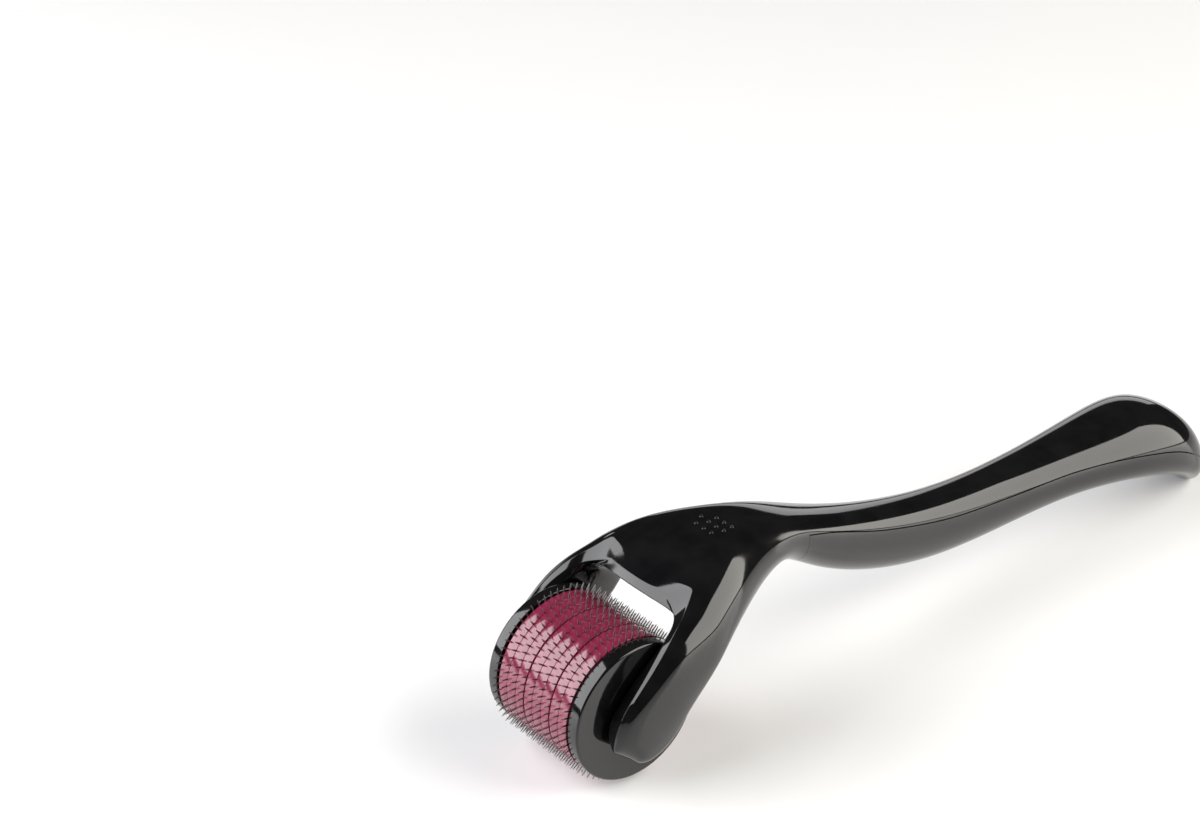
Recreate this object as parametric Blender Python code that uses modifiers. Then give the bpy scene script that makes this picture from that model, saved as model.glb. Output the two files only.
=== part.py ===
"""A derma roller: a needled drum spinning on a steel pin between the arms of a two-shell handle.

Sizes are in millimetres and become metres where they enter Blender. The handle is laid out from
the point under the axle: +X runs back from the drum to the tail, +Y across, +Z up. AXLE and LEAN
then place it, so that needles and tail rest on the table at z = 0, and the origin is under the
middle of the whole roller.
"""
import math

import bmesh
import bpy
from mathutils import Vector

MM = 0.001
GAP = 0.3                     # left between pieces that touch

# ---------------------------------------------------------------- driving dimensions
NEEDLE = 1.0                  # how far a needle stands out of the drum
DRUM_RADIUS = 9.7             # the pink surface
ROWS = 9                      # needle discs
NEEDLES_PER_ROW = 60
ROW_PITCH = 1.73
DISC_THICKNESS = 0.25
NEEDLE_BASE = 0.36            # a needle's width at the root circle of its disc
NEEDLE_ROOT = 0.4             # how deep the root circle lies under the pink surface
CAP_FACE = 9.1                # outer face of an end cap, from the middle
HOLE_RADIUS = 6.3             # hole in the discs and rings
KEY_HALF_WIDTH = 0.8
KEY_HEIGHT = 1.0
CORE_BORE = 4.4
BUSH_RADIUS = 2.6
PIN_RADIUS = 1.3
PIN_HALF_LENGTH = 11.0

AXLE = Vector((-50.94, 0.0, DRUM_RADIUS + NEEDLE))   # where the axle is in the finished frame
LEAN = math.radians(1.1)      # the handle turns this far down about the axle, onto its tail

# The handle behind the fork, as sections across X: distance behind the axle, height of the widest
# line, half width there, top and bottom. Heights are above the table.
HANDLE = (
    (31.0, 23.1, 4.4, 25.4, 18.8),
    (38.0, 19.7, 3.9, 22.5, 13.8),
    (48.0, 16.2, 3.7, 19.3, 9.6),
    (60.0, 13.7, 3.7, 16.9, 7.2),
    (72.0, 13.1, 4.0, 16.4, 7.7),
    (84.0, 13.3, 4.9, 17.0, 8.9),
    (94.0, 12.8, 6.6, 17.6, 8.4),
    (102.0, 11.4, 7.7, 18.0, 7.0),
    (107.6, 8.7, 7.2, 15.2, 4.8),
    (110.8, 6.0, 5.3, 10.8, 2.4),
    (112.8, 3.7, 2.7, 6.6, 1.0),
)
PARTING = (22.5, 20.9, 17.5, 15.0, 14.4, 14.6, 14.1, 12.7, 9.8, 6.8, 4.2)  # height of the shells' joint
CAGE_SWELL = 1.07             # a smoothed cage shrinks by this much, so its sections are drawn larger
WALL = 1.5                    # of both shells
PARTING_FRONT = 33.0          # the lower shell starts this far behind the axle
HOLLOW_START, HOLLOW_END = 38.0, 110.0

# The yoke, as sections of its +Y half. Each runs over the deck from the middle (T0) to the arm's
# top edge (T2), over a front chamfer (T2, T3) and the swelling side (M3) to the outer and inner rear
# edges (B3, B2), and back under the web (B1, B0). The web ends at the last section that has T0 and
# B0, in a bevel (T0 to L0) and a low wall (L0 to B0). The arm alone goes on from there, around the
# axle, with a narrow facet (L1, T2) and an inner chamfer (L1, B1) along its front.
YOKE = (
    dict(T0=(25.0, 0, 27.3), T2=(24.7, 2.6, 27.2), T3=(24.3, 4.8, 26.6), M3=(24.4, 6.5, 23.9),
         B3=(25.0, 6.2, 21.2), B2=(25.6, 4.5, 19.3), B1=(25.8, 2.5, 18.9), B0=(25.8, 0, 18.9)),
    dict(T0=(17.0, 0, 26.4), T2=(16.5, 4.2, 27.3), T3=(16.3, 7.4, 27.1), M3=(16.6, 10.5, 24.2),
         B3=(18.3, 9.9, 19.8), B2=(18.3, 7.4, 18.2), B1=(17.4, 4.9, 19.4), B0=(17.4, 0, 20.4)),
    dict(T0=(9.0, 0, 24.5), T2=(9.8, 8.3, 25.2), T3=(11.2, 9.9, 24.9), M3=(12.4, 12.1, 22.7),
         B3=(13.1, 12.4, 16.9), B2=(12.7, 9.6, 16.0), B1=(7.0, 7.8, 22.1), B0=(5.9, 0, 22.8),
         L0=(6.6, 0, 23.8), L1=(7.4, 5.3, 23.6)),
    dict(L1=(6.6, 8.7, 22.2), T2=(7.3, 9.5, 23.2), T3=(8.6, 11.2, 22.9), M3=(10.2, 13.0, 21.3),
         B3=(11.2, 13.0, 14.8), B2=(10.9, 9.7, 14.4), B1=(6.5, 8.9, 21.2)),
    dict(L1=(4.2, 10.0, 21.4), T2=(4.8, 10.8, 22.1), T3=(6.1, 12.2, 21.7), M3=(7.6, 13.5, 19.7),
         B3=(9.2, 13.1, 12.5), B2=(9.0, 9.7, 12.4), B1=(4.1, 9.7, 20.3)),
    dict(L1=(1.3, 11.1, 19.4), T2=(1.9, 11.7, 19.8), T3=(3.5, 13.0, 20.0), M3=(5.1, 13.8, 17.9),
         B3=(7.7, 13.1, 10.9), B2=(7.5, 9.7, 10.8), B1=(1.2, 9.7, 18.2)),
    dict(L1=(-0.8, 11.5, 17.4), T2=(-0.3, 12.0, 17.8), T3=(1.4, 13.3, 18.1), M3=(2.9, 13.9, 16.2),
         B3=(6.3, 13.1, 9.2), B2=(6.1, 9.6, 9.1), B1=(-1.1, 9.7, 16.2)),
    dict(L1=(-2.9, 11.7, 15.2), T2=(-2.5, 12.1, 15.5), T3=(-1.0, 13.3, 15.8), M3=(0.5, 13.8, 14.0),
         B3=(4.9, 13.0, 6.9), B2=(4.8, 9.6, 6.8), B1=(-3.3, 9.7, 13.9)),
    dict(L1=(-4.8, 11.7, 12.9), T2=(-4.5, 12.0, 13.0), T3=(-3.6, 13.0, 13.4), M3=(-1.9, 13.6, 11.8),
         B3=(2.8, 13.0, 4.9), B2=(2.8, 9.6, 4.9), B1=(-5.1, 9.7, 11.4)),
    dict(L1=(-5.7, 11.3, 8.2), T2=(-5.6, 11.7, 8.2), T3=(-5.0, 12.5, 7.8), M3=(-3.4, 13.0, 6.6),
         B3=(-1.0, 12.8, 4.2), B2=(-1.0, 9.6, 4.2), B1=(-5.5, 9.7, 7.2)),
)
ROW_NAMES = ("T0", "T2", "T3", "M3", "B3", "B2", "B1", "B0")
ARM_RING = ("T2", "T3", "M3", "B3", "B2", "B1", "L1", "T2")
# How sharp the yoke's edges stay when the cage is smoothed.
ARM_CREASES = {"L1": 0.9, "T2": 0.9, "T3": 0.3, "B1": 0.8, "B2": 0.8}
WEB_CREASES = (("T0", "T2", 0.8), ("L0", "L1", 0.9), ("B0", "B1", 0.8), ("L1", "T2", 0.9),
               ("L1", "B1", 0.3))

STEEL = ("needle_steel", (0.42, 0.42, 0.44), 0.28, 1.0)
BLACK = ("black_plastic", (0.006, 0.006, 0.007), 0.12, 0.0)
PINK = ("pink_plastic", (0.62, 0.06, 0.16), 0.22, 0.0)
WHITE = ("white_acetal", (0.75, 0.74, 0.70), 0.4, 0.0)
GREY = ("grey_core_plastic", (0.10, 0.10, 0.11), 0.45, 0.0)


# ---------------------------------------------------------------- helpers
def clear_scene():
    for obj in list(bpy.data.objects):
        bpy.data.objects.remove(obj, do_unlink=True)


def collection(name):
    found = bpy.data.collections.new(name)
    bpy.context.scene.collection.children.link(found)
    return found


def material(name, colour, roughness, metallic):
    """One material for one sub-part, shared by its copies."""
    if name in bpy.data.materials:
        return bpy.data.materials[name]
    made = bpy.data.materials.new(name)
    made.use_nodes = True
    shader = made.node_tree.nodes["Principled BSDF"]
    shader.inputs["Base Color"].default_value = (*colour, 1.0)
    shader.inputs["Roughness"].default_value = roughness
    shader.inputs["Metallic"].default_value = metallic
    return made


def place(name, data, finish, group, parent=None):
    """Link mesh or curve data as a named object that hangs on the parent empty."""
    obj = bpy.data.objects.new(name, data)
    group.objects.link(obj)
    obj.parent = parent
    if finish:
        data.materials.append(material(*finish))
    return obj


def empty(name, group, location, parent=None):
    obj = place(name, None, None, group, parent)
    obj.location = location * MM
    return obj


def metres(points):
    return [Vector(point) * MM for point in points]


def circle(radius, segments, phase=0.0):
    return [(radius * math.cos(phase + math.tau * k / segments),
             radius * math.sin(phase + math.tau * k / segments)) for k in range(segments)]


def keyed_circle(radius, half_width, height, segments):
    """A circle with one square-cornered key standing out of its top."""
    corner = math.asin(half_width / radius)
    sweep = math.tau - 2 * corner
    arc = [math.pi / 2 + corner + sweep * k / segments for k in range(segments + 1)]
    points = [(radius * math.cos(a), radius * math.sin(a)) for a in arc]
    return points + [(half_width, radius + height), (-half_width, radius + height)]


def plate(name, outlines, thickness):
    """Curve data for a flat outline with holes, extruded to both sides of its own plane."""
    curve = bpy.data.curves.new(name, "CURVE")
    curve.dimensions = "2D"
    curve.fill_mode = "BOTH"
    curve.extrude = thickness * MM / 2
    for outline in outlines:
        spline = curve.splines.new("POLY")
        spline.points.add(len(outline) - 1)
        for point, (u, v) in zip(spline.points, outline):
            point.co = (u * MM, v * MM, 0.0, 1.0)
        spline.use_cyclic_u = True
    return curve


def turned(name, profile, segments):
    """Mesh data for a profile of (radius, height) pairs, and a function that adds its Screw.

    The profile runs down its outer side. It closes on itself unless it starts on the axis.
    """
    mesh = bpy.data.meshes.new(name)
    count = len(profile)
    edges = [(k, k + 1) for k in range(count - 1)]
    if profile[0][0] > 0:
        edges.append((count - 1, 0))
    mesh.from_pydata(metres((r, 0, h) for r, h in profile), edges, [])

    def add_screw(obj):
        screw = obj.modifiers.new("Turn", "SCREW")
        screw.steps = screw.render_steps = segments
        screw.use_merge_vertices = True
        screw.merge_threshold = 0.00001
        obj.data.shade_smooth()
    return mesh, add_screw


def across(obj, y):
    """Stand a flat or turned piece on the axle: its own Z along the world's Y."""
    obj.rotation_euler.x = -math.pi / 2
    obj.location.y = y * MM
    return obj


def cut(obj, cutter, operation="DIFFERENCE"):
    boolean = obj.modifiers.new(cutter.name, "BOOLEAN")
    boolean.object = cutter
    boolean.operation = operation


def as_cutter(obj):
    obj.hide_render = True
    obj.display_type = "WIRE"
    return obj


def mesh_of_curve(obj):
    """The curve object's closed mesh, welded, on a new object in the same place."""
    bpy.context.view_layer.update()
    evaluated = obj.evaluated_get(bpy.context.evaluated_depsgraph_get())
    mesh = bpy.data.meshes.new_from_object(evaluated)
    shape = bmesh.new()
    shape.from_mesh(mesh)
    bmesh.ops.remove_doubles(shape, verts=shape.verts, dist=0.000001)
    bmesh.ops.recalc_face_normals(shape, faces=shape.faces)
    shape.to_mesh(mesh)
    shape.free()
    solid = bpy.data.objects.new(obj.name, mesh)
    solid.matrix_world = obj.matrix_world.copy()
    for group in obj.users_collection:
        group.objects.link(solid)
    bpy.data.objects.remove(obj, do_unlink=True)
    return solid


# ---------------------------------------------------------------- the handle's outer form
def section(x, ridge, half_width, top, bottom, swell=1.0, inset=0.0):
    """The +Y half of a handle section, from the top middle round to the bottom middle."""
    points = []
    step = math.pi / (len(ROW_NAMES) - 1)
    for k, row in enumerate(ROW_NAMES):
        angle = math.pi / 2 - step * k
        reach = (top if angle > 0 else bottom) - ridge
        squareness = 2 / 2.4 if angle > 0 else 1.0
        height = abs(math.sin(angle)) ** squareness * (abs(reach) - inset) * swell
        width = abs(math.cos(angle)) ** squareness * (half_width - inset) * swell
        width = 0.0 if row in ("T0", "B0") else width
        points.append((x, width, ridge + math.copysign(height, reach)))
    return dict(zip(ROW_NAMES, points))


def bridge(shape, front, back, rows, faces_out=True):
    """Quads between two sections, along neighbouring rows that both of them have."""
    for upper, lower in zip(rows, rows[1:]):
        corners = [front[upper], front[lower], back[lower], back[upper]]
        shape.faces.new(corners if faces_out else corners[::-1])


def close_tail(shape, ring):
    shape.faces.new([ring["T0"], ring["B0"], ring["B1"], ring["T2"]])
    shape.faces.new([ring["T2"], ring["B1"], ring["B2"], ring["T3"]])
    shape.faces.new([ring["T3"], ring["B2"], ring["B3"], ring["M3"]])


def handle_cage():
    """The +Y half of the yoke and handle as a coarse cage, open at the middle plane."""
    shape = bmesh.new()
    crease = shape.edges.layers.float.new("crease_edge")

    def verts(points):
        return {row: shape.verts.new(Vector(point) * MM) for row, point in points.items()}

    yoke = [verts(station) for station in YOKE]
    handle = [verts(section(*station, swell=CAGE_SWELL)) for station in HANDLE]
    web = [station for station in yoke if "T0" in station]
    arm = yoke[len(web) - 1:]
    for behind, ahead in zip(handle[::-1], handle[-2::-1]):
        bridge(shape, ahead, behind, ROW_NAMES)
    bridge(shape, web[0], handle[0], ROW_NAMES)
    for behind, ahead in zip(web, web[1:]):
        bridge(shape, ahead, behind, ROW_NAMES)
    front = web[-1]
    for corners in (("T0", "L0", "L1", "T2"), ("L0", "B0", "B1", "L1")):
        shape.faces.new([front[row] for row in corners])
    for behind, ahead in zip(arm, arm[1:]):
        bridge(shape, ahead, behind, ARM_RING)
    tip = arm[-1]
    for corners in (("L1", "B1", "T3", "T2"), ("B1", "B2", "M3", "T3"), ("B2", "B3", "M3")):
        shape.faces.new([tip[row] for row in corners])
    close_tail(shape, handle[-1])

    def sharpen(first, second, amount):
        edge = shape.edges.get((first, second))
        edge[crease] = amount

    for row, amount in ARM_CREASES.items():
        for behind, ahead in zip(arm, arm[1:]):
            sharpen(behind[row], ahead[row], amount)
    for first, second, amount in WEB_CREASES:
        sharpen(front[first], front[second], amount)
    bmesh.ops.recalc_face_normals(shape, faces=shape.faces)
    mesh = bpy.data.meshes.new("handle_cage")
    shape.to_mesh(mesh)
    shape.free()
    return mesh


def smooth_half(obj, levels):
    """Mirror a +Y half over the middle plane and smooth it."""
    mirror = obj.modifiers.new("Mirror", "MIRROR")
    mirror.use_axis = (False, True, False)
    mirror.merge_threshold = 0.00001
    if levels:
        smooth = obj.modifiers.new("Smooth", "SUBSURF")
        smooth.levels = smooth.render_levels = levels


def hollow_cage():
    """The hollow inside both shells, as a half loft with a flat cap at each end."""
    stations = [s for s in HANDLE if HOLLOW_START <= s[0] <= HOLLOW_END]
    shape = bmesh.new()
    rings = []
    for station in stations:
        points = section(*station, inset=WALL)
        rings.append({row: shape.verts.new(Vector(point) * MM) for row, point in points.items()})
    for ahead, behind in zip(rings, rings[1:]):
        bridge(shape, ahead, behind, ROW_NAMES)
    shape.faces.new([rings[0][row] for row in ROW_NAMES])
    shape.faces.new([rings[-1][row] for row in reversed(ROW_NAMES)])
    bmesh.ops.recalc_face_normals(shape, faces=shape.faces)
    mesh = bpy.data.meshes.new("hollow")
    shape.to_mesh(mesh)
    shape.free()
    return mesh


def parting_block(name, lift, front, group, parent):
    """Everything under the line where the shells meet, as a block wider than the handle."""
    line = [(station[0], height + lift) for station, height in zip(HANDLE[1:], PARTING[1:])]
    line = [(front, PARTING[0] + lift)] + line + [(122.0, line[-1][1] - 4.0)]
    outline = line + [(122.0, -20.0), (front, -20.0)]
    block = bpy.data.objects.new(name, plate(name, [outline], 40.0))
    block.rotation_euler.x = math.pi / 2
    group.objects.link(block)
    block = mesh_of_curve(block)
    block.parent = parent
    return as_cutter(block)


def build_handle(group, cutters, axle, base):
    cage = handle_cage()
    hollow = as_cutter(place("hollow", hollow_cage(), None, cutters, base))
    smooth_half(hollow, 0)
    bores, turn = turned("pin_bores", [(0.0, PIN_HALF_LENGTH + GAP),
                                       (PIN_RADIUS + GAP, PIN_HALF_LENGTH + GAP),
                                       (PIN_RADIUS + GAP, -PIN_HALF_LENGTH - GAP),
                                       (0.0, -PIN_HALF_LENGTH - GAP)], 20)
    bores = across(as_cutter(place("pin_bores", bores, None, cutters, axle)), 0.0)
    turn(bores)
    table, reach = bpy.data.meshes.new("table"), 30.0
    block = bmesh.new()
    bmesh.ops.create_cube(block, size=2 * reach * MM)
    block.to_mesh(table)
    block.free()
    table = as_cutter(place("table", table, None, cutters))
    table.location = (HOLLOW_END * MM + AXLE.x * MM, 0.0, -reach * MM)

    upper = place("upper_shell", cage, BLACK, group, base)
    smooth_half(upper, 2)
    cut(upper, parting_block("below_parting", GAP / 2, PARTING_FRONT - GAP / 2, cutters, base))
    cut(upper, hollow)
    cut(upper, bores)

    lower = place("lower_shell", cage.copy(), None, group, base)
    smooth_half(lower, 2)
    cut(lower, parting_block("under_shell", -GAP / 2, PARTING_FRONT + GAP / 2, cutters, base),
        "INTERSECT")
    cut(lower, hollow)
    cut(lower, table)


# ---------------------------------------------------------------- the drum
def needle_outline(phase):
    """A root circle with sharp needles on it, one every 360 / NEEDLES_PER_ROW degrees."""
    root, tip = DRUM_RADIUS - NEEDLE_ROOT, DRUM_RADIUS + NEEDLE
    half_base = math.asin(NEEDLE_BASE / 2 / root)
    points = []
    for k in range(NEEDLES_PER_ROW):
        angle = math.tau * (k + phase) / NEEDLES_PER_ROW
        for radius, turn in ((root, -half_base), (tip, 0.0), (root, half_base)):
            points.append((radius * math.cos(angle + turn), radius * math.sin(angle + turn)))
    return points


def build_drum(group, spindle):
    hole = keyed_circle(HOLE_RADIUS, KEY_HALF_WIDTH + GAP, KEY_HEIGHT, 18)
    discs = [plate(f"needle_disc_{kind}", [needle_outline(phase), hole], DISC_THICKNESS)
             for kind, phase in (("even", 0.0), ("odd", 0.5))]
    for data in discs:
        data.materials.append(material(*STEEL))
    first = -(ROWS - 1) / 2 * ROW_PITCH
    for row in range(ROWS):
        disc = place(f"needle_disc_{row + 1}", discs[row % 2], None, group, spindle)
        across(disc, first + row * ROW_PITCH)

    ring_width = ROW_PITCH - DISC_THICKNESS - 2 * GAP
    ring = plate("spacer_ring", [circle(DRUM_RADIUS, 36), hole], ring_width)
    ring.materials.append(material(*PINK))
    for row in range(ROWS - 1):
        spacer = place(f"spacer_ring_{row + 1}", ring, None, group, spindle)
        across(spacer, first + (row + 0.5) * ROW_PITCH)

    core_length = (ROWS - 1) * ROW_PITCH + DISC_THICKNESS
    core = plate("hub_core", [keyed_circle(HOLE_RADIUS - GAP, KEY_HALF_WIDTH, KEY_HEIGHT, 24),
                              circle(CORE_BORE, 24)], core_length)
    across(place("hub_core", core, GREY, group, spindle), 0.0)

    inner = core_length / 2 + GAP
    spigot = CORE_BORE - GAP
    plug = inner - 2.2
    bore = BUSH_RADIUS + GAP
    edge = 0.25
    cap_profile = [(bore, CAP_FACE), (DRUM_RADIUS - edge, CAP_FACE), (DRUM_RADIUS, CAP_FACE - edge),
                   (DRUM_RADIUS, inner), (spigot, inner), (spigot, plug), (bore, plug)]
    bush_profile = [(PIN_RADIUS + GAP, CAP_FACE), (BUSH_RADIUS, CAP_FACE), (BUSH_RADIUS, plug),
                    (PIN_RADIUS + GAP, plug)]
    for side, turn in (("left", 0.0), ("right", math.pi)):
        for name, profile, finish, segments in ((f"{side}_end_cap", cap_profile, BLACK, 36),
                                                (f"{side}_bush", bush_profile, WHITE, 20)):
            mesh, add_screw = turned(name, profile, segments)
            piece = across(place(name, mesh, finish, group, spindle), 0.0)
            piece.rotation_euler.x += turn
            add_screw(piece)


def build_pin(group, axle):
    lead = 0.2
    profile = [(0.0, PIN_HALF_LENGTH), (PIN_RADIUS - lead, PIN_HALF_LENGTH),
               (PIN_RADIUS, PIN_HALF_LENGTH - lead), (PIN_RADIUS, -PIN_HALF_LENGTH + lead),
               (PIN_RADIUS - lead, -PIN_HALF_LENGTH), (0.0, -PIN_HALF_LENGTH)]
    mesh, add_screw = turned("axle_pin", profile, 20)
    add_screw(across(place("axle_pin", mesh, STEEL, group, axle), 0.0))


# ---------------------------------------------------------------- assembly
def main():
    clear_scene()
    parts = collection("derma_roller")
    cutters = collection("cutters")

    axle = empty("handle_axle", parts, AXLE)
    axle.rotation_euler.y = LEAN
    base = empty("handle_base", parts, Vector((0.0, 0.0, -AXLE.z)), axle)
    spindle = empty("drum_axis", parts, AXLE)

    build_handle(parts, cutters, axle, base)
    build_pin(parts, axle)
    build_drum(parts, spindle)


main()
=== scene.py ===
"""Looks for the derma roller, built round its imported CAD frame.

Lengths are in millimetres and become metres in HANDLE_FRAME, DRUM_FRAME and MM, except for the
studio, which is in metres. The handle is laid out as in the CAD source: +X runs back from the axle
to the tail, +Y across, and +Z up from the table.
"""
import math

import bmesh
import bpy
from mathutils import Matrix, Vector
from mathutils.bvhtree import BVHTree


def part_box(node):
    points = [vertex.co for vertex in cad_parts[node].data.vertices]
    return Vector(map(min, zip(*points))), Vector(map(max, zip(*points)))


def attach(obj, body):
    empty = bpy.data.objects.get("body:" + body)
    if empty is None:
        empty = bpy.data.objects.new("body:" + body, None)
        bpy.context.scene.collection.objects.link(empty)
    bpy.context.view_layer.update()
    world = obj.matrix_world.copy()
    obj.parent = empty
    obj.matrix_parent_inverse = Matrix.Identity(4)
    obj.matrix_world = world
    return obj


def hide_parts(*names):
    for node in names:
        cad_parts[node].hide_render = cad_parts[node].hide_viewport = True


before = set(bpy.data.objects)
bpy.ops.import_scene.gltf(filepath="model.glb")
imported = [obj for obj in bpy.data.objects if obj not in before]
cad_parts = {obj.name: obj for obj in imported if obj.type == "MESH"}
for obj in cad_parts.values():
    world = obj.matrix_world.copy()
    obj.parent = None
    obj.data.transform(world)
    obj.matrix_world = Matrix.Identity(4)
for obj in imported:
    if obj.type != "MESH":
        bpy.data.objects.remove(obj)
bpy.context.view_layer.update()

MM = 0.001


# ------------------------------------------------------------------ places, taken from the frame
def middle(node):
    low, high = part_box(node)
    return (low + high) / 2


AXLE = middle("axle_pin")
AXLE_HEIGHT = 10.7
LEAN = math.radians(1.1)      # the handle's turn about the axle, down onto its tail
HANDLE_FRAME = (Matrix.Translation(AXLE) @ Matrix.Rotation(LEAN, 4, "Y")
                @ Matrix.Diagonal((MM, MM, MM, 1.0)) @ Matrix.Translation((0, 0, -AXLE_HEIGHT)))

DRUM_FRAME = Matrix.Translation(AXLE) @ Matrix.Diagonal((MM, MM, MM, 1.0))
ROWS = 9
ROW_Y = [(middle(f"needle_disc_{row + 1}").y - AXLE.y) / MM for row in range(ROWS)]

# ------------------------------------------------------------------ the handle's outer form
HANDLE = (  # behind the axle, widest height, half width there, top, bottom
    (31.0, 23.1, 4.4, 25.4, 18.8),
    (38.0, 19.7, 3.9, 22.5, 13.8),
    (48.0, 16.2, 3.7, 19.3, 9.6),
    (60.0, 13.7, 3.7, 16.9, 7.2),
    (72.0, 13.1, 4.0, 16.4, 7.7),
    (84.0, 13.3, 4.9, 17.0, 8.9),
    (94.0, 12.8, 6.6, 17.6, 8.4),
    (102.0, 11.4, 7.7, 18.0, 7.0),
    (107.6, 8.7, 7.2, 15.2, 4.8),
    (110.8, 6.0, 5.3, 10.8, 2.4),
    (112.8, 3.7, 2.7, 6.6, 1.0),
)
CREST_POWER = 2.4             # a section is a superellipse over its ridge and an ellipse below
CAGE_SWELL = 1.07             # the cage is drawn this much larger, because smoothing shrinks it
WALL = 1.5
HOLLOW_START, HOLLOW_END = 38.0, 110.0

# The joint between the two shells, by its height at each section of HANDLE.
PARTING = (22.5, 20.9, 17.5, 15.0, 14.4, 14.6, 14.1, 12.7, 9.8, 6.8, 4.2)
PARTING_FRONT = 33.0          # the lower shell starts this far behind the axle
PARTING_STEPS = 8
PARTING_RUN_OUT, PARTING_DROP = 122.0, 4.0    # where the cut leaves past the tail, and how far down
SEAM, FRONT_SEAM = 0.17, 0.05                 # the visible gap between the shells, side and front
CUTTER_REACH = 20.0
PIN_BORE_RADIUS, PIN_BORE_HALF, PIN_BORE_SEGMENTS = 1.6, 11.3, 48

# The yoke's +Y half as stations from the neck forward, down the web and then down the arm. Rows T
# run over the top from the middle outward, M down the outer side, B back across the underside, and
# L along the edge that faces the drum.
YOKE = (
    dict(T0=(25.0, 0, 27.3), T2=(24.7, 2.6, 27.2), T3=(24.3, 4.8, 26.6), M3=(24.4, 6.5, 23.9),
         B3=(25.0, 6.2, 21.2), B2=(25.6, 4.5, 19.3), B1=(25.8, 2.5, 18.9), B0=(25.8, 0, 18.9)),
    dict(T0=(17.0, 0, 26.4), T2=(16.5, 4.2, 27.3), T3=(16.3, 7.4, 27.1), M3=(16.6, 10.5, 24.2),
         B3=(18.3, 9.9, 19.8), B2=(18.3, 7.4, 18.2), B1=(17.4, 4.9, 19.4), B0=(17.4, 0, 20.4)),
    dict(T0=(9.0, 0, 24.5), T2=(9.8, 8.3, 25.2), T3=(11.2, 9.9, 24.9), M3=(12.4, 12.1, 22.7),
         B3=(13.1, 12.4, 16.9), B2=(12.7, 9.6, 16.0), B1=(7.0, 7.8, 22.1), B0=(5.9, 0, 22.8),
         L0=(6.6, 0, 23.8), L1=(7.4, 5.3, 23.6)),
    dict(L1=(6.6, 8.7, 22.2), T2=(7.3, 9.5, 23.2), T3=(8.6, 11.2, 22.9), M3=(10.2, 13.0, 21.3),
         B3=(11.2, 13.0, 14.8), B2=(10.9, 9.7, 14.4), B1=(6.5, 8.9, 21.2)),
    dict(L1=(4.2, 10.0, 21.4), T2=(4.8, 10.8, 22.1), T3=(6.1, 12.2, 21.7), M3=(7.6, 13.5, 19.7),
         B3=(9.2, 13.1, 12.5), B2=(9.0, 9.7, 12.4), B1=(4.1, 9.7, 20.3)),
    dict(L1=(1.3, 11.1, 19.4), T2=(1.9, 11.7, 19.8), T3=(3.5, 13.0, 20.0), M3=(5.1, 13.8, 17.9),
         B3=(7.7, 13.1, 10.9), B2=(7.5, 9.7, 10.8), B1=(1.2, 9.7, 18.2)),
    dict(L1=(-0.8, 11.5, 17.4), T2=(-0.3, 12.0, 17.8), T3=(1.4, 13.3, 18.1), M3=(2.9, 13.9, 16.2),
         B3=(6.3, 13.1, 9.2), B2=(6.1, 9.6, 9.1), B1=(-1.1, 9.7, 16.2)),
    dict(L1=(-2.9, 11.7, 15.2), T2=(-2.5, 12.1, 15.5), T3=(-1.0, 13.3, 15.8), M3=(0.5, 13.8, 14.0),
         B3=(4.9, 13.0, 6.9), B2=(4.8, 9.6, 6.8), B1=(-3.3, 9.7, 13.9)),
    dict(L1=(-4.8, 11.7, 12.9), T2=(-4.5, 12.0, 13.0), T3=(-3.6, 13.0, 13.4), M3=(-1.9, 13.6, 11.8),
         B3=(2.8, 13.0, 4.9), B2=(2.8, 9.6, 4.9), B1=(-5.1, 9.7, 11.4)),
    dict(L1=(-5.7, 11.3, 8.2), T2=(-5.6, 11.7, 8.2), T3=(-5.0, 12.5, 7.8), M3=(-3.4, 13.0, 6.6),
         B3=(-1.0, 12.8, 4.2), B2=(-1.0, 9.6, 4.2), B1=(-5.5, 9.7, 7.2)),
)
ROW_NAMES = ("T0", "T2", "T3", "M3", "B3", "B2", "B1", "B0")
ARM_RING = ("T2", "T3", "M3", "B3", "B2", "B1", "L1", "T2")
ARM_CREASES = {"L1": 0.9, "T2": 0.9, "T3": 0.3, "B1": 0.8, "B2": 0.8}
WEB_CREASES = (("T0", "T2", 0.8), ("L0", "L1", 0.9), ("B0", "B1", 0.8), ("L1", "T2", 0.9),
               ("L1", "B1", 0.3))
SMOOTH_LEVELS = 4
MIDDLE_MERGE = 0.01

# Grip pips on the deck: rows across it, (behind the axle, the first one's Y, how many).
PIP_ROWS = ((18.45, -1.3, 3), (19.85, -2.15, 4), (21.2, -2.15, 3))
PIP_PITCH, PIP_RADIUS, PIP_HEIGHT, PIP_ROOT = 1.5, 0.30, 0.16, 0.25
PIP_STEPS, PIP_SEGMENTS = 4, 14
CLEAR_ABOVE = 40.0            # higher than anything on the handle

# ------------------------------------------------------------------ the drum's sizes
DRUM_RADIUS, DRUM_SEGMENTS = 9.7, 160
HOLE_RADIUS, HOLE_SEGMENTS = 6.3, 60
KEY_SLOT_HALF, KEY_HEIGHT = 1.1, 1.0
DISC_RADIUS, DISC_SEGMENTS, DISC_HALF = 9.35, 120, 0.12
RING_BEVEL, WELD = 0.05, 0.002
RING_GAP, OPEN_GAP = 0.015, 0.11      # from a needle row's middle to the pink ring beside it
OPEN_SEAMS = (2, 5, 8)        # the rows, counted from 0, that have the open gap: a visible joint

NEEDLES_PER_ROW, NEEDLE_SEGMENTS = 60, 8
NEEDLE_TIP = 10.68
NEEDLE = [(0.0, 9.2), (0.13, 9.2), (0.125, 9.75), (0.105, 10.2), (0.065, 10.5),
          (0.02, NEEDLE_TIP), (0.0, NEEDLE_TIP)]      # (radius, distance from the axle)
NEEDLE_SHARP_ANGLE = 50.0

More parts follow.
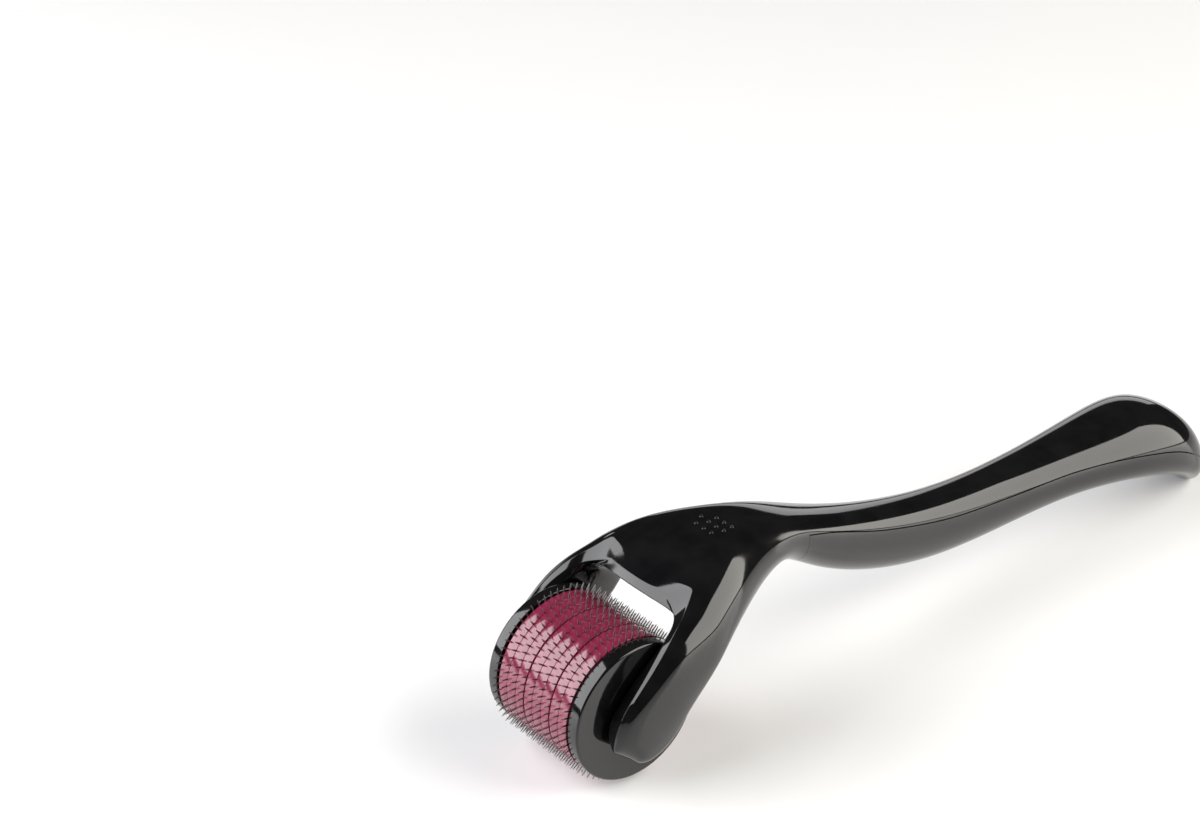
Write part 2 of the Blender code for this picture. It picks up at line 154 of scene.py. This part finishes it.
CAP_FACE, CAP_BORE, CAP_SPIGOT, CAP_PLUG = 9.1, 2.9, 4.1, 5.145
CAP_STANDOFF = 0.425          # from the last needle row's middle to the cap
CAP_INNER = ROW_Y[-1] + CAP_STANDOFF
CAP_EDGE, CAP_EDGE_STEPS, CAP_CHAMFER = 0.32, 5, 0.06

# ------------------------------------------------------------------ the studio's sizes, in metres
TABLE_REACH, TABLE_DROP, TABLE_SEGMENTS = 0.26, 0.00002, 64
TABLE_WHITE, TABLE_GLOW = 0.9, 0.14
ROOM = (0.02, 0.02, 0.022, 1)
BACKDROP = (1, 1, 1, 1)
CAMERA_PLACE = (-0.27333, -0.27499, 0.25299)
CAMERA_TURN = (60.1876, -0.2115, -38.99985)     # degrees
CAMERA_LENS, CAMERA_SENSOR = 99.9, 36.0         # millimetres
CAMERA_CLIP = 0.01


# ------------------------------------------------------------------ small helpers
def add(name, data):
    obj = bpy.data.objects.new(name, data)
    bpy.context.scene.collection.objects.link(obj)
    return obj


def mesh_from(name, shape, transform=None):
    """Mesh data from a bmesh, with its normals outward."""
    bmesh.ops.recalc_face_normals(shape, faces=shape.faces)
    mesh = bpy.data.meshes.new(name)
    shape.to_mesh(mesh)
    shape.free()
    if transform:
        mesh.transform(transform)
    return mesh


def lathe(shape, profile, segments, centre=(0.0, 0.0)):
    """Sweep a closed profile of (radius, y) round the Y axis. A first radius of 0 closes on it."""
    closed = profile[0][0] > 0
    rings = []
    for radius, y in profile:
        if radius == 0:
            rings.append([shape.verts.new((centre[0], y, centre[1]))] * segments)
            continue
        angles = [math.tau * k / segments for k in range(segments)]
        rings.append([shape.verts.new((centre[0] + radius * math.cos(a), y,
                                       centre[1] + radius * math.sin(a))) for a in angles])
    pairs = list(zip(rings, rings[1:]))
    if closed:
        pairs.append((rings[-1], rings[0]))
    for ring, after in pairs:
        for k in range(segments):
            n = (k + 1) % segments
            corners = [ring[k], ring[n], after[n], after[k]]
            shape.faces.new(list(dict.fromkeys(corners)))


def copies(shape, draw, transforms):
    """Draw one small solid into the shape at each transform."""
    one = bmesh.new()
    draw(one)
    loose = bpy.data.meshes.new("copy")
    one.to_mesh(loose)
    one.free()
    for transform in transforms:
        placed = loose.copy()
        placed.transform(transform)
        shape.from_mesh(placed)
        bpy.data.meshes.remove(placed)
    bpy.data.meshes.remove(loose)


def evaluated_mesh(obj, name):
    """The object's mesh with its modifiers applied; the object itself is removed."""
    bpy.context.view_layer.update()
    graph = bpy.context.evaluated_depsgraph_get()
    mesh = bpy.data.meshes.new_from_object(obj.evaluated_get(graph))
    mesh.transform(obj.matrix_world)
    mesh.name = name
    bpy.data.objects.remove(obj, do_unlink=True)
    return mesh


def smooth_shading(mesh, sharp_angle):
    mesh.shade_smooth()
    mesh.set_sharp_from_angle(angle=math.radians(sharp_angle))


def piece(name, mesh, body, finish, replaces=(), sharp_angle=40.0):
    """A finished visible piece that rides on a CAD body."""
    smooth_shading(mesh, sharp_angle)
    mesh.materials.clear()
    mesh.materials.append(finish)
    obj = add(name, mesh)
    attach(obj, body)
    if replaces:
        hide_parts(*replaces)


# ------------------------------------------------------------------ procedural materials
class Finish:
    """A node material built in a few calls. Its texture coordinates are the object's own."""

    NOISE_LOW, NOISE_HIGH = 0.3, 0.7      # most of a noise field lies between these

    def __init__(self, name, **sockets):
        self.material = bpy.data.materials.new(name)
        self.material.use_nodes = True
        self.tree = self.material.node_tree
        self.shader = self.tree.nodes["Principled BSDF"]
        self.where = self.tree.nodes.new("ShaderNodeTexCoord").outputs["Object"]
        self.bumps = None
        for socket, value in sockets.items():
            self.shader.inputs[socket.replace("_", " ")].default_value = value

    def link(self, output, target):
        self.tree.links.new(output, target)

    def noise(self, size_mm, detail=3.0, stretch=(1, 1, 1), roughness=0.55):
        """A noise field whose features are about size_mm across."""
        mapping = self.tree.nodes.new("ShaderNodeMapping")
        mapping.inputs["Scale"].default_value = [k / (size_mm * MM) for k in stretch]
        self.link(self.where, mapping.inputs["Vector"])
        texture = self.tree.nodes.new("ShaderNodeTexNoise")
        texture.inputs["Scale"].default_value = 1.0
        texture.inputs["Detail"].default_value = detail
        texture.inputs["Roughness"].default_value = roughness
        self.link(mapping.outputs["Vector"], texture.inputs["Vector"])
        return texture.outputs["Fac"]

    def ramp(self, field, stops):
        """stops are (position, colour); the field is mapped through them."""
        node = self.tree.nodes.new("ShaderNodeValToRGB")
        elements = node.color_ramp.elements
        while len(elements) < len(stops):
            elements.new(0.5)
        for element, (position, colour) in zip(elements, stops):
            element.position = position
            element.color = (*colour, 1.0)
        self.link(field, node.inputs["Fac"])
        return node.outputs["Color"]

    def spread(self, field, low, high):
        """The field's middle range stretched over low to high."""
        node = self.tree.nodes.new("ShaderNodeMapRange")
        node.inputs["From Min"].default_value = self.NOISE_LOW
        node.inputs["From Max"].default_value = self.NOISE_HIGH
        node.inputs["To Min"].default_value = low
        node.inputs["To Max"].default_value = high
        self.link(field, node.inputs["Value"])
        return node.outputs["Result"]

    def colour(self, output):
        self.link(output, self.shader.inputs["Base Color"])

    def roughness(self, output):
        self.link(output, self.shader.inputs["Roughness"])

    def bump(self, field, height_mm, strength=1.0):
        """Bumps stack: each later one adds to those before."""
        node = self.tree.nodes.new("ShaderNodeBump")
        node.inputs["Strength"].default_value = strength
        node.inputs["Distance"].default_value = height_mm * MM
        self.link(field, node.inputs["Height"])
        if self.bumps:
            self.link(self.bumps, node.inputs["Normal"])
        self.bumps = node.outputs["Normal"]
        self.link(self.bumps, self.shader.inputs["Normal"])


def gloss_black():
    """High-gloss black plastic: faint flow waviness, hairline scuffs and a fine grain."""
    made = Finish("gloss_black_plastic", Base_Color=(0.006, 0.006, 0.0065, 1), IOR=1.52)
    made.colour(made.ramp(made.noise(4.0), [(0.35, (0.0045, 0.0045, 0.005)),
                                            (0.65, (0.0085, 0.0082, 0.0088))]))
    scuffs = made.noise(0.35, detail=6.0, stretch=(0.12, 1, 1), roughness=0.7)
    made.roughness(made.spread(scuffs, 0.045, 0.10))
    made.bump(made.noise(9.0, detail=1.0), 0.02, 0.35)
    made.bump(made.noise(0.25, detail=2.0), 0.0015, 0.25)
    return made.material


def pink():
    """Glossy, faintly translucent pink moulding."""
    made = Finish("pink_moulded_plastic", IOR=1.68, Subsurface_Weight=0.25,
                  Subsurface_Radius=(1.2 * MM, 0.35 * MM, 0.5 * MM), Subsurface_Scale=1.0)
    made.colour(made.ramp(made.noise(1.6, detail=4.0), [(0.3, (0.205, 0.017, 0.050)),
                                                        (0.7, (0.26, 0.025, 0.070))]))
    made.roughness(made.spread(made.noise(0.5, detail=4.0), 0.10, 0.18))
    made.bump(made.noise(0.9, detail=2.0), 0.002, 0.3)
    return made.material


def steel(name, tone, roughness, grain):
    """Drawn or ground steel with a fine grain along one direction."""
    made = Finish(name, Metallic=1.0)
    field = made.noise(0.12, detail=5.0, stretch=grain, roughness=0.65)
    made.colour(made.ramp(field, [(0.3, tuple(0.72 * k for k in tone)), (0.7, tone)]))
    made.roughness(made.spread(field, roughness * 0.8, roughness * 1.3))
    made.bump(field, 0.002, 0.4)
    return made.material


def acetal():
    """Off-white bearing plastic with a dull sheen."""
    made = Finish("natural_acetal", IOR=1.48, Subsurface_Weight=0.2,
                  Subsurface_Radius=(0.8 * MM, 0.7 * MM, 0.5 * MM), Subsurface_Scale=1.0)
    made.colour(made.ramp(made.noise(0.9), [(0.3, (0.66, 0.64, 0.57)), (0.7, (0.76, 0.74, 0.68))]))
    made.roughness(made.spread(made.noise(0.3, detail=4.0), 0.35, 0.5))
    made.bump(made.noise(0.15, stretch=(1, 0.1, 1)), 0.003, 0.4)
    return made.material


def core_plastic():
    """Dull dark plastic of the drum's core."""
    made = Finish("core_plastic", IOR=1.5)
    made.colour(made.ramp(made.noise(0.8), [(0.3, (0.012, 0.012, 0.013)),
                                            (0.7, (0.022, 0.022, 0.024))]))
    made.roughness(made.spread(made.noise(0.25, detail=5.0), 0.38, 0.55))
    made.bump(made.noise(0.2), 0.008, 0.5)
    return made.material


BLACK = gloss_black()
PINK = pink()
NEEDLE_STEEL = steel("needle_steel", (0.27, 0.25, 0.25), 0.36, (1, 1, 1))
AXLE_STEEL = steel("axle_steel", (0.60, 0.60, 0.61), 0.22, (1, 0.08, 1))
ACETAL = acetal()
CORE = core_plastic()


# ------------------------------------------------------------------ the handle's two shells
def section(x, ridge, half_width, top, bottom, swell=1.0, inset=0.0):
    """The +Y half of a handle section, from the top middle round to the bottom middle."""
    points = {}
    step = math.pi / (len(ROW_NAMES) - 1)
    for k, row in enumerate(ROW_NAMES):
        angle = math.pi / 2 - step * k
        reach = (top if angle > 0 else bottom) - ridge
        squareness = 2 / CREST_POWER if angle > 0 else 1.0
        height = abs(math.sin(angle)) ** squareness * (abs(reach) - inset) * swell
        width = abs(math.cos(angle)) ** squareness * (half_width - inset) * swell
        width = 0.0 if row in ("T0", "B0") else width
        points[row] = (x, width, ridge + math.copysign(height, reach))
    return points


def bridge(shape, front, back, rows):
    for upper, lower in zip(rows, rows[1:]):
        shape.faces.new([front[upper], front[lower], back[lower], back[upper]])


def handle_cage():
    """The +Y half of the yoke and handle as a coarse cage, open at the middle plane."""
    shape = bmesh.new()
    crease = shape.edges.layers.float.new("crease_edge")

    def verts(points):
        return {row: shape.verts.new(point) for row, point in points.items()}

    yoke = [verts(station) for station in YOKE]
    handle = [verts(section(*station, swell=CAGE_SWELL)) for station in HANDLE]
    web = [station for station in yoke if "T0" in station]
    arm = yoke[len(web) - 1:]
    for ahead, behind in zip(handle, handle[1:]):
        bridge(shape, ahead, behind, ROW_NAMES)
    bridge(shape, web[0], handle[0], ROW_NAMES)
    for behind, ahead in zip(web, web[1:]):
        bridge(shape, ahead, behind, ROW_NAMES)
    front = web[-1]
    for corners in (("T0", "L0", "L1", "T2"), ("L0", "B0", "B1", "L1")):
        shape.faces.new([front[row] for row in corners])
    for behind, ahead in zip(arm, arm[1:]):
        bridge(shape, ahead, behind, ARM_RING)
    tip, tail = arm[-1], handle[-1]
    for corners in (("L1", "B1", "T3", "T2"), ("B1", "B2", "M3", "T3"), ("B2", "B3", "M3")):
        shape.faces.new([tip[row] for row in corners])
    for corners in (("T0", "B0", "B1", "T2"), ("T2", "B1", "B2", "T3"), ("T3", "B2", "B3", "M3")):
        shape.faces.new([tail[row] for row in corners])

    def sharpen(first, second, amount):
        shape.edges.get((first, second))[crease] = amount

    for row, amount in ARM_CREASES.items():
        for behind, ahead in zip(arm, arm[1:]):
            sharpen(behind[row], ahead[row], amount)
    for first, second, amount in WEB_CREASES:
        sharpen(front[first], front[second], amount)
    return mesh_from("handle_cage", shape)


def mirror_half(obj):
    mirror = obj.modifiers.new("Mirror", "MIRROR")
    mirror.use_axis = (False, True, False)
    mirror.merge_threshold = MIDDLE_MERGE


def hollow_cutter():
    """The hollow inside both shells."""
    shape = bmesh.new()
    rings = []
    for station in HANDLE:
        if HOLLOW_START <= station[0] <= HOLLOW_END:
            points = section(*station, inset=WALL)
            rings.append({row: shape.verts.new(points[row]) for row in ROW_NAMES})
    for ahead, behind in zip(rings, rings[1:]):
        bridge(shape, ahead, behind, ROW_NAMES)
    shape.faces.new([rings[0][row] for row in ROW_NAMES])
    shape.faces.new([rings[-1][row] for row in reversed(ROW_NAMES)])
    cutter = add("hollow_cutter", mesh_from("hollow", shape))
    mirror_half(cutter)
    return cutter


def through_points(points, steps):
    """A smooth curve through the points, with so many steps from each to the next."""
    ends = [2 * points[0] - points[1], *points, 2 * points[-1] - points[-2]]
    line = []
    for a, b, c, d in zip(ends, ends[1:], ends[2:], ends[3:]):
        for k in range(steps):
            t = k / steps
            line.append((2 * b + (c - a) * t + (2 * a - 5 * b + 4 * c - d) * t ** 2
                         + (3 * b - a - 3 * c + d) * t ** 3) / 2)
    return line + [points[-1]]


def parting_cutter(lift, front):
    """Everything under the line where the shells meet, from front back past the tail."""
    line = [Vector((station[0], height + lift)) for station, height in zip(HANDLE, PARTING)]
    line[0].x = front
    run_out = Vector((PARTING_RUN_OUT, line[-1].y - PARTING_DROP))
    outline = [*through_points(line, PARTING_STEPS), run_out,
               Vector((PARTING_RUN_OUT, -CUTTER_REACH)), Vector((front, -CUTTER_REACH))]
    shape = bmesh.new()
    sides = [[shape.verts.new((p.x, y, p.y)) for p in outline]
             for y in (-CUTTER_REACH, CUTTER_REACH)]
    shape.faces.new(sides[0])
    shape.faces.new(sides[1][::-1])
    for k in range(len(outline)):
        after = (k + 1) % len(outline)
        shape.faces.new([sides[0][after], sides[0][k], sides[1][k], sides[1][after]])
    return add("parting_cutter", mesh_from("parting", shape))


def bore_cutter():
    """The pin's two blind bores, as one rod across both arms."""
    shape = bmesh.new()
    profile = [(0.0, PIN_BORE_HALF), (PIN_BORE_RADIUS, PIN_BORE_HALF),
               (PIN_BORE_RADIUS, -PIN_BORE_HALF), (0.0, -PIN_BORE_HALF)]
    lathe(shape, profile, PIN_BORE_SEGMENTS, centre=(0.0, AXLE_HEIGHT))
    return add("bore_cutter", mesh_from("bore", shape))


def shell_mesh(name, cuts):
    """The smoothed cage with each (cutter, operation) applied in turn, placed by HANDLE_FRAME."""
    obj = add(name, handle_cage())
    mirror_half(obj)
    smooth = obj.modifiers.new("Smooth", "SUBSURF")
    smooth.levels = smooth.render_levels = SMOOTH_LEVELS
    for cutter, operation in cuts:
        boolean = obj.modifiers.new(cutter.name, "BOOLEAN")
        boolean.object = cutter
        boolean.operation = operation
    mesh = evaluated_mesh(obj, name)
    mesh.transform(HANDLE_FRAME)
    for cutter, _ in cuts:
        bpy.data.objects.remove(cutter, do_unlink=True)
    for vertex in mesh.vertices:
        vertex.co.z = max(vertex.co.z, 0.0)      # the tail's flat resting face
    return mesh


def build_handle():
    upper = shell_mesh("upper_shell_moulding", [
        (parting_cutter(SEAM / 2, PARTING_FRONT - FRONT_SEAM / 2), "DIFFERENCE"),
        (hollow_cutter(), "DIFFERENCE"), (bore_cutter(), "DIFFERENCE")])
    deck = BVHTree.FromPolygons([v.co for v in upper.vertices],
                                [p.vertices for p in upper.polygons])
    piece("upper_shell_moulding", upper, "handle", BLACK, ["upper_shell"])
    lower = shell_mesh("lower_shell_moulding", [
        (parting_cutter(-SEAM / 2, PARTING_FRONT + FRONT_SEAM / 2), "INTERSECT"),
        (hollow_cutter(), "DIFFERENCE")])
    piece("lower_shell_moulding", lower, "handle", BLACK, ["lower_shell"])
    build_pips(deck)


def build_pips(deck):
    """Small low domes standing on the deck, square to its surface."""
    angles = [math.pi / 2 * k / PIP_STEPS for k in range(PIP_STEPS + 1)]
    dome = [(PIP_RADIUS * math.sin(a), PIP_HEIGHT * math.cos(a)) for a in angles]
    dome += [(PIP_RADIUS, -PIP_ROOT), (0.0, -PIP_ROOT)]
    down = (HANDLE_FRAME.to_3x3() @ Vector((0, 0, -1))).normalized()
    places = []
    for x, first, count in PIP_ROWS:
        for k in range(count):
            above = HANDLE_FRAME @ Vector((x, first + k * PIP_PITCH, CLEAR_ABOVE))
            spot, normal, _, _ = deck.ray_cast(above, down)
            stand = normal.to_track_quat("Y", "X").to_matrix().to_4x4()
            places.append(Matrix.Translation(spot) @ stand @ Matrix.Diagonal((MM, MM, MM, 1)))
    shape = bmesh.new()
    copies(shape, lambda one: lathe(one, dome, PIP_SEGMENTS), places)
    piece("grip_pips", mesh_from("grip_pips", shape), "handle", BLACK)


# ------------------------------------------------------------------ the drum
def circle(radius, segments):
    angles = [math.tau * k / segments for k in range(segments)]
    return [(radius * math.cos(a), radius * math.sin(a)) for a in angles]


def keyed_hole():
    """The discs' and rings' hole, with its slot for the hub's key."""
    corner = math.asin(KEY_SLOT_HALF / HOLE_RADIUS)
    sweep = math.tau - 2 * corner
    arc = [math.pi / 2 + corner + sweep * k / HOLE_SEGMENTS for k in range(HOLE_SEGMENTS + 1)]
    points = [(HOLE_RADIUS * math.cos(a), HOLE_RADIUS * math.sin(a)) for a in arc]
    top = HOLE_RADIUS + KEY_HEIGHT
    return points + [(KEY_SLOT_HALF, top), (-KEY_SLOT_HALF, top)]


def plate_mesh(name, outlines, y_low, y_high, bevel=0.0):
    """A flat outline with holes, standing across the axle from y_low to y_high."""
    curve = bpy.data.curves.new(name, "CURVE")
    curve.dimensions = "2D"
    curve.fill_mode = "BOTH"
    curve.extrude = (y_high - y_low) / 2 - bevel
    curve.bevel_depth = bevel
    curve.bevel_resolution = 2
    curve.offset = -bevel
    for outline in outlines:
        spline = curve.splines.new("POLY")
        spline.points.add(len(outline) - 1)
        for point, (u, v) in zip(spline.points, outline):
            point.co = (u, v, 0.0, 1.0)
        spline.use_cyclic_u = True
    obj = add(name, curve)
    obj.matrix_world = (Matrix.Translation((0, (y_low + y_high) / 2, 0))
                        @ Matrix.Rotation(-math.pi / 2, 4, "X"))
    mesh = evaluated_mesh(obj, name)
    shape = bmesh.new()
    shape.from_mesh(mesh)
    bmesh.ops.remove_doubles(shape, verts=shape.verts, dist=WELD)
    return mesh_from(name, shape, DRUM_FRAME)


OUTWARD = Matrix.Rotation(-math.pi / 2, 4, "Z")


def needle_row(row):
    """One needle disc: a thin keyed plate with round, tapering needles standing out of its rim."""
    y = ROW_Y[row]
    plate = plate_mesh("disc", [circle(DISC_RADIUS, DISC_SEGMENTS), keyed_hole()],
                       y - DISC_HALF, y + DISC_HALF)
    shape = bmesh.new()
    shape.from_mesh(plate)
    bpy.data.meshes.remove(plate)
    turns = [math.tau * (k + 0.5 * (row % 2)) / NEEDLES_PER_ROW for k in range(NEEDLES_PER_ROW)]
    copies(shape, lambda one: lathe(one, NEEDLE, NEEDLE_SEGMENTS),
           [DRUM_FRAME @ Matrix.Translation((0, y, 0)) @ Matrix.Rotation(a, 4, "Y") @ OUTWARD
            for a in turns])
    return mesh_from(f"needle_row_{row + 1}", shape)


def end_cap(name, side):
    """A black cap on an end of the drum: flat face, rounded rim, and a spigot into the drum."""
    rim = [math.pi / 2 * k / CAP_EDGE_STEPS for k in reversed(range(CAP_EDGE_STEPS))]
    profile = [(CAP_BORE, CAP_FACE), (DRUM_RADIUS - CAP_EDGE, CAP_FACE)]
    profile += [(DRUM_RADIUS - CAP_EDGE * (1 - math.cos(a)),
                 CAP_FACE - CAP_EDGE * (1 - math.sin(a))) for a in rim]
    profile += [(DRUM_RADIUS, CAP_INNER + CAP_CHAMFER), (DRUM_RADIUS - CAP_CHAMFER, CAP_INNER),
                (CAP_SPIGOT, CAP_INNER), (CAP_SPIGOT, CAP_PLUG), (CAP_BORE, CAP_PLUG)]
    shape = bmesh.new()
    lathe(shape, [(r, side * y) for r, y in profile], DRUM_SEGMENTS)
    return mesh_from(name, shape, DRUM_FRAME)


def build_drum():
    for row in range(ROWS):
        piece(f"needle_row_{row + 1}", needle_row(row), "drum", NEEDLE_STEEL,
              [f"needle_disc_{row + 1}"], NEEDLE_SHARP_ANGLE)
    outlines = [circle(DRUM_RADIUS, DRUM_SEGMENTS), keyed_hole()]
    for k in range(ROWS - 1):
        low = ROW_Y[k] + (OPEN_GAP if k in OPEN_SEAMS else RING_GAP)
        high = ROW_Y[k + 1] - (OPEN_GAP if k + 1 in OPEN_SEAMS else RING_GAP)
        ring = plate_mesh(f"drum_ring_{k + 1}", outlines, low, high, RING_BEVEL)
        piece(f"drum_ring_{k + 1}", ring, "drum", PINK, [f"spacer_ring_{k + 1}"])
    for name, side in (("left", 1), ("right", -1)):
        piece(f"{name}_drum_cap", end_cap(f"{name}_drum_cap", side), "drum", BLACK,
              [f"{name}_end_cap"])


def finish_nodes():
    """Give the CAD nodes that stay visible their materials."""
    for node, finish in (("axle_pin", AXLE_STEEL), ("hub_core", CORE),
                         ("left_bush", ACETAL), ("right_bush", ACETAL)):
        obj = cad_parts[node]
        obj.data.materials.clear()
        obj.data.materials.append(finish)
        for slot in obj.material_slots:
            slot.material = finish


# ------------------------------------------------------------------ studio
def build_floor():
    """A glossy white table that ends a short way from the roller."""
    shape = bmesh.new()
    shape.faces.new([shape.verts.new((x, y, -TABLE_DROP))
                     for x, y in circle(TABLE_REACH, TABLE_SEGMENTS)])
    floor = add("studio_floor", mesh_from("studio_floor", shape))
    white = Finish("white_table", IOR=1.5)
    white.shader.inputs["Base Color"].default_value = (TABLE_WHITE, TABLE_WHITE, TABLE_WHITE, 1)
    white.shader.inputs["Emission Color"].default_value = (1, 1, 1, 1)
    white.shader.inputs["Emission Strength"].default_value = TABLE_GLOW
    white.roughness(white.spread(white.noise(60.0), 0.12, 0.18))
    floor.data.materials.append(white.material)


def softbox(name, azimuth, near, far, width, radiance, colour):
    """A soft panel leaning over the table. near and far are (distance from the roller, height)
    of its two level edges; azimuth 0 is towards -Y and 90 towards +X."""
    a = math.radians(azimuth)
    towards = Vector((math.sin(a), -math.cos(a), 0.0))
    edges = [towards * distance + Vector((0, 0, height)) for distance, height in (near, far)]
    rise = edges[0] - edges[1]
    light = bpy.data.lights.new(name, "AREA")
    light.shape = "RECTANGLE"
    light.size, light.size_y = width, rise.length
    light.energy = radiance * math.pi * width * rise.length
    light.color = colour
    obj = add(name, light)
    along = rise.normalized()
    side = Vector((0, 0, 1)).cross(towards).normalized()
    facing = side.cross(along)
    if facing.dot((edges[0] + edges[1]) / 2) < 0:
        side, facing = -side, -facing
    obj.matrix_world = Matrix.Translation((edges[0] + edges[1]) / 2) @ Matrix(
        (side, along, facing)).transposed().to_4x4()
    obj.visible_camera = False


def build_lights():
    softbox("right_softbox", 45, (0.32, 0.50), (0.80, 0.0), 0.58, 5.0, (1.0, 0.965, 0.90))
    softbox("left_softbox", -121, (0.32, 0.50), (0.80, 0.06), 0.62, 5.0, (0.98, 0.985, 1.0))
    softbox("back_wall", 135, (0.9, 0.22), (0.9, 0.02), 0.5, 1.4, (1.0, 0.98, 1.0))


def build_world():
    """White where the camera looks past the table, and a dark room in reflections."""
    world = bpy.data.worlds.new("studio")
    world.use_nodes = True
    bpy.context.scene.world = world
    tree = world.node_tree
    room = tree.nodes["Background"]
    room.inputs["Color"].default_value = ROOM
    backdrop = tree.nodes.new("ShaderNodeBackground")
    backdrop.inputs["Color"].default_value = BACKDROP
    path = tree.nodes.new("ShaderNodeLightPath")
    mix = tree.nodes.new("ShaderNodeMixShader")
    tree.links.new(path.outputs["Is Camera Ray"], mix.inputs["Fac"])
    tree.links.new(room.outputs["Background"], mix.inputs[1])
    tree.links.new(backdrop.outputs["Background"], mix.inputs[2])
    tree.links.new(mix.outputs["Shader"], tree.nodes["World Output"].inputs["Surface"])


def build_camera():
    camera = bpy.data.cameras.new("camera")
    camera.sensor_width = CAMERA_SENSOR
    camera.lens = CAMERA_LENS
    camera.clip_start = CAMERA_CLIP
    obj = add("camera", camera)
    obj.location = CAMERA_PLACE
    obj.rotation_euler = [math.radians(angle) for angle in CAMERA_TURN]
    bpy.context.scene.camera = obj


build_handle()
build_drum()
finish_nodes()
build_floor()
build_lights()
build_world()
build_camera()
bpy.context.scene.view_settings.view_transform = "Standard"
